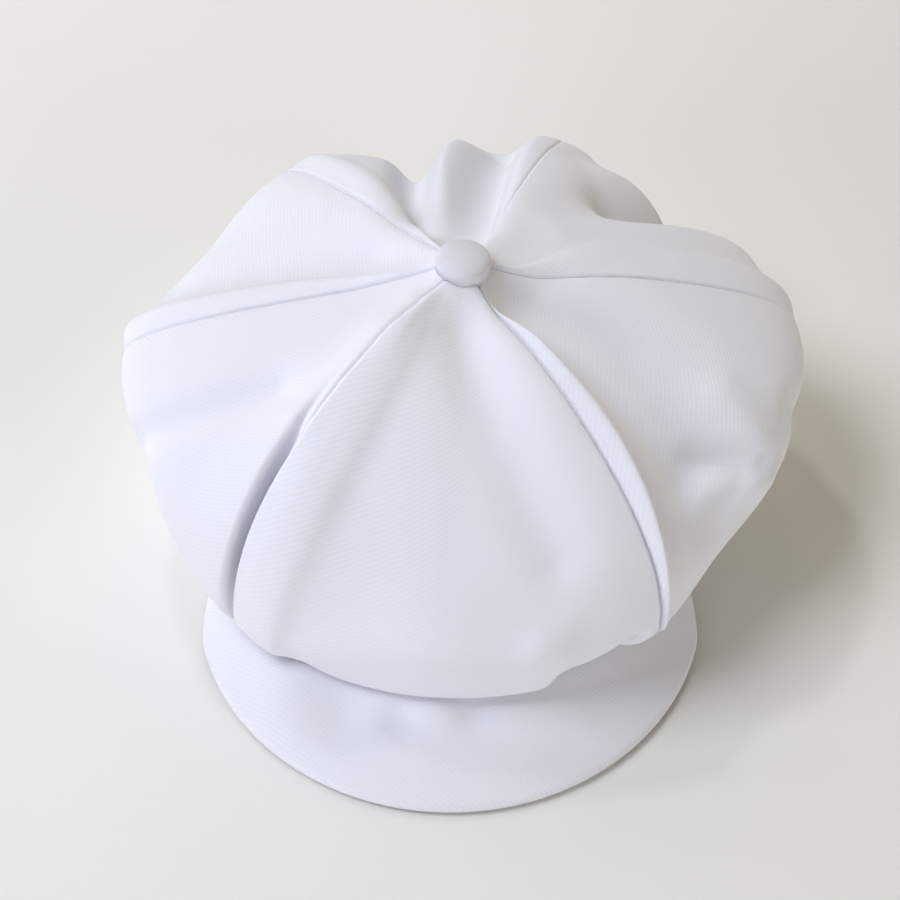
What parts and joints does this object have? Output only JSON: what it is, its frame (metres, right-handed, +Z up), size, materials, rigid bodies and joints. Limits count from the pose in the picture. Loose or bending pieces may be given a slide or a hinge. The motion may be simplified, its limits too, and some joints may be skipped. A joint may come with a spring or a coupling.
{
  "type": "baby's baker-boy cap",
  "caption": "Soft white cotton baby's baker-boy cap with a slumped panelled crown, a covered button, a stiff rounded peak and a plain band round the open head hollow.",
  "frame": {"origin": "middle of the cap's box, on the surface that it lies on", "axes": "+Z up through the covered button, -Y towards the peak, +X to the wearer's left"},
  "size_m": [0.2092, 0.2224, 0.1023],
  "materials": {
    "white_twill": "soft matt cotton twill, slightly bluish white",
    "button_cloth": "matt cotton twill drawn over a button"
  },
  "bodies": {
    "root": {"crown_front_panel": "white_twill", "crown_front_right_panel": "white_twill", "crown_back_right_panel": "white_twill", "crown_back_panel": "white_twill", "crown_back_left_panel": "white_twill", "crown_front_left_panel": "white_twill", "button": "button_cloth", "peak": "white_twill", "band": "white_twill"}
  },
  "joints": []
}
